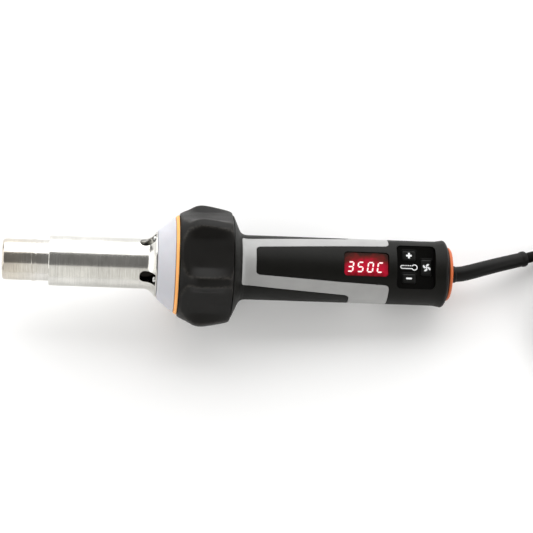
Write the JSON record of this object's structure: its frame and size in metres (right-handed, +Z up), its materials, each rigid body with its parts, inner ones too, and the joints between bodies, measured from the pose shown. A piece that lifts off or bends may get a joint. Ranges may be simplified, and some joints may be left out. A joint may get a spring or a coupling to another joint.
{
  "type": "hot-air hand tool",
  "caption": "Corded hot-air tool: slotted steel nozzle tube, rubber-ringed blower head, round handle with digital display and keypad, mains lead coiled beside it.",
  "frame": {"origin": "centre of the tool's bounding box on the surface it lies on, measured without the cord", "axes": "+X from the nozzle towards the handle's end, +Z up, the panel facing up and leaning 5.2 degrees to the rear"},
  "size_m": [0.5389, 0.136, 0.0856],
  "materials": {
    "steel": "polished stainless steel with fine brushing round the tube",
    "zinc_screw": "zinc plated",
    "mica": "layered mica sheet",
    "ceramic": "matte sintered ceramic",
    "heating_wire": "oxidised resistance wire",
    "pale_plastic": "satin heat-resistant plastic",
    "orange_seal": "matte silicone",
    "orange_plastic": "satin",
    "black_rubber": "matte, faintly grained",
    "cord_rubber": "matte",
    "charcoal_grip": "soft-touch satin",
    "light_grey": "satin",
    "red_lens": "clear red, glossy",
    "black_gloss": "semi-gloss",
    "black_keys": "satin with white symbols",
    "black_nylon": "moulded nylon",
    "circuit_board": "solder mask",
    "aluminium": "extruded",
    "white_plastic": "satin",
    "motor_iron": "laminated",
    "copper": "turned copper bars",
    "bearing_steel": "ground",
    "brass": "nickel-plated brass",
    "felt": "needled felt"
  },
  "bodies": {
    "housing": {"heater_tube": "steel", "cooling_sleeve": "steel", "flange_screw_1": "zinc_screw", "flange_screw_2": "zinc_screw", "flange_screw_3": "zinc_screw", "flange_screw_4": "zinc_screw", "housing_screw_1": "zinc_screw", "housing_screw_2": "zinc_screw", "housing_screw_3": "zinc_screw", "housing_screw_4": "zinc_screw", "mica_sleeve": "mica", "ceramic_core": "ceramic", "heating_coil": "heating_wire", "nose_ring": "pale_plastic", "front_seal": "orange_seal", "capacitor": "orange_seal", "filter_ring": "orange_plastic", "bumper_ring": "black_rubber", "cord_boot": "black_rubber", "mains_cord": "cord_rubber", "cord_coil": "cord_rubber", "cord_tail": "cord_rubber", "plug_body": "cord_rubber", "upper_shell": "charcoal_grip", "lower_shell": "charcoal_grip", "upper_inlay": "light_grey", "lower_inlay": "light_grey", "display_window": "red_lens", "display_module": "black_gloss", "keypad_plate": "black_gloss", "rocker_body": "black_gloss", "plus_switch": "black_nylon", "minus_switch": "black_nylon", "fan_switch": "black_nylon", "air_funnel": "black_nylon", "front_bracket": "black_nylon", "rear_bracket": "black_nylon", "intake_grille": "black_nylon", "cord_clamp": "black_nylon", "control_board": "circuit_board", "power_board": "circuit_board", "triac_heatsink": "aluminium", "terminal_block": "white_plastic", "motor_stator": "motor_iron", "front_bearing": "bearing_steel", "rear_bearing": "bearing_steel", "brush_holder_left": "brass", "brush_holder_right": "brass", "plug_pin_1": "brass", "plug_pin_2": "brass", "air_filter": "felt"},
    "rotor": {"motor_shaft": "steel", "armature": "motor_iron", "commutator": "copper", "fan_impeller": "black_nylon"},
    "plus_key": {"plus_button": "black_keys"},
    "minus_key": {"minus_button": "black_keys"},
    "fan_key": {"fan_button": "black_keys"},
    "mains_rocker": {"rocker_key": "black_keys"}
  },
  "joints": [
    {"name": "blower_spin", "type": "hinge", "parent": "housing", "child": "rotor", "pos_m": [0.01274, 0, 0.03956], "axis": [0.9959, 0, -0.0899], "continuous": true},
    {"name": "plus_press", "type": "slide", "parent": "housing", "child": "plus_key", "axis": [-0.0899, 0, -0.9959], "range_m": [0, 0.0008], "stiffness_N_per_m": 1500},
    {"name": "minus_press", "type": "slide", "parent": "housing", "child": "minus_key", "axis": [-0.0899, 0, -0.9959], "range_m": [0, 0.0008], "stiffness_N_per_m": 1500},
    {"name": "fan_press", "type": "slide", "parent": "housing", "child": "fan_key", "axis": [-0.0899, 0, -0.9959], "range_m": [0, 0.0008], "stiffness_N_per_m": 1500},
    {"name": "mains_switch", "type": "hinge", "parent": "housing", "child": "mains_rocker", "pos_m": [0.13811, 0, 0.01017], "axis": [0, 1, 0], "range_deg": [0, 20]}
  ]
}
